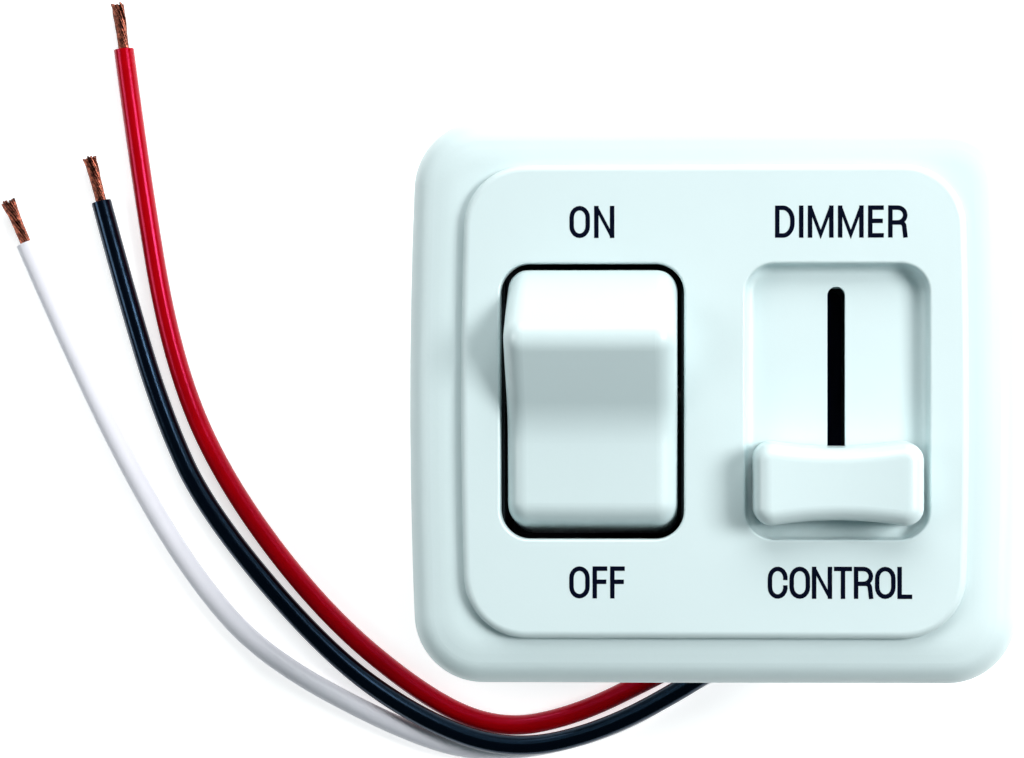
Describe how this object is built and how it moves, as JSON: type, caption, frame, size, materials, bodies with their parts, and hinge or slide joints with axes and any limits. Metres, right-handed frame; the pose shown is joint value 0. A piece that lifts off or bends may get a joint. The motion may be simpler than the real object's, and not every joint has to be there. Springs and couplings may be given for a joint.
{
  "type": "led dimmer",
  "caption": "Wall-mounted dimmer with a rocker switch and a slide control in a rounded bezel, a deep rear cover and bare-ended wire leads.",
  "frame": {"origin": "middle of the bezel's back rim, in the wall plane", "axes": "+X across the front to the slider's side, +Y up the front to the ON end, +Z out of the wall through the face plate"},
  "size_m": [0.1304, 0.1, 0.0404],
  "materials": {
    "white_abs": "satin moulded plastic",
    "black_nylon": "moulded nylon",
    "natural_nylon": "moulded nylon",
    "spring_steel": "plain steel",
    "brass": "stamped brass",
    "silver": "contact silver",
    "dark_steel": "blackened steel",
    "phenolic": "phenolic laminate",
    "board_laminate": "solder-masked laminate",
    "moulded_epoxy": "moulded epoxy",
    "tinned_metal": "tinned",
    "capacitor_can": "sleeved can",
    "resistor_body": "lacquered",
    "black_rubber": "moulded rubber",
    "red_pvc": "extruded insulation",
    "black_pvc": "extruded insulation",
    "white_pvc": "extruded insulation",
    "bare_copper": "bare stranded copper"
  },
  "bodies": {
    "housing": {"bezel": "white_abs", "face_plate": "white_abs", "switch_body": "black_nylon", "line_terminal": "brass", "load_terminal": "brass", "load_contact": "silver", "pot_frame": "dark_steel", "pot_track": "phenolic", "circuit_board": "board_laminate", "transistor_body": "moulded_epoxy", "transistor_tab": "tinned_metal", "filter_capacitor": "capacitor_can", "timer_chip": "moulded_epoxy", "chip_pins": "tinned_metal", "resistors": "resistor_body", "diode": "moulded_epoxy", "line_jumper": "black_pvc", "load_jumper": "red_pvc", "rear_cover": "white_abs", "cover_screws": "spring_steel", "lead_grommet": "black_rubber", "lead_joints": "tinned_metal", "red_lead": "red_pvc", "black_lead": "black_pvc", "white_lead": "white_pvc", "red_strands": "bare_copper", "black_strands": "bare_copper", "white_strands": "bare_copper"},
    "rocker": {"rocker": "white_abs", "rocker_pins": "dark_steel", "rocker_plunger": "natural_nylon", "plunger_spring": "spring_steel"},
    "slider": {"slider_knob": "white_abs", "slider_lever": "black_nylon", "slider_wiper": "brass"},
    "bridge": {"contact_bridge": "brass", "bridge_contact": "silver"}
  },
  "joints": [
    {"name": "rocker_tilt", "type": "hinge", "parent": "housing", "child": "rocker", "pos_m": [-0.0143, 0, 0.0014], "axis": [1, 0, 0], "range_deg": [-34, 0]},
    {"name": "bridge_rock", "type": "hinge", "parent": "housing", "child": "bridge", "pos_m": [-0.0143, 0, -0.00705], "axis": [1, 0, 0], "range_deg": [0, 17]},
    {"name": "slider_travel", "type": "slide", "parent": "housing", "child": "slider", "axis": [0, 1, 0], "range_m": [0, 0.019]}
  ],
  "couplings": [
    {"joint": "bridge_rock", "follows": "rocker_tilt", "ratio": -0.5}
  ]
}
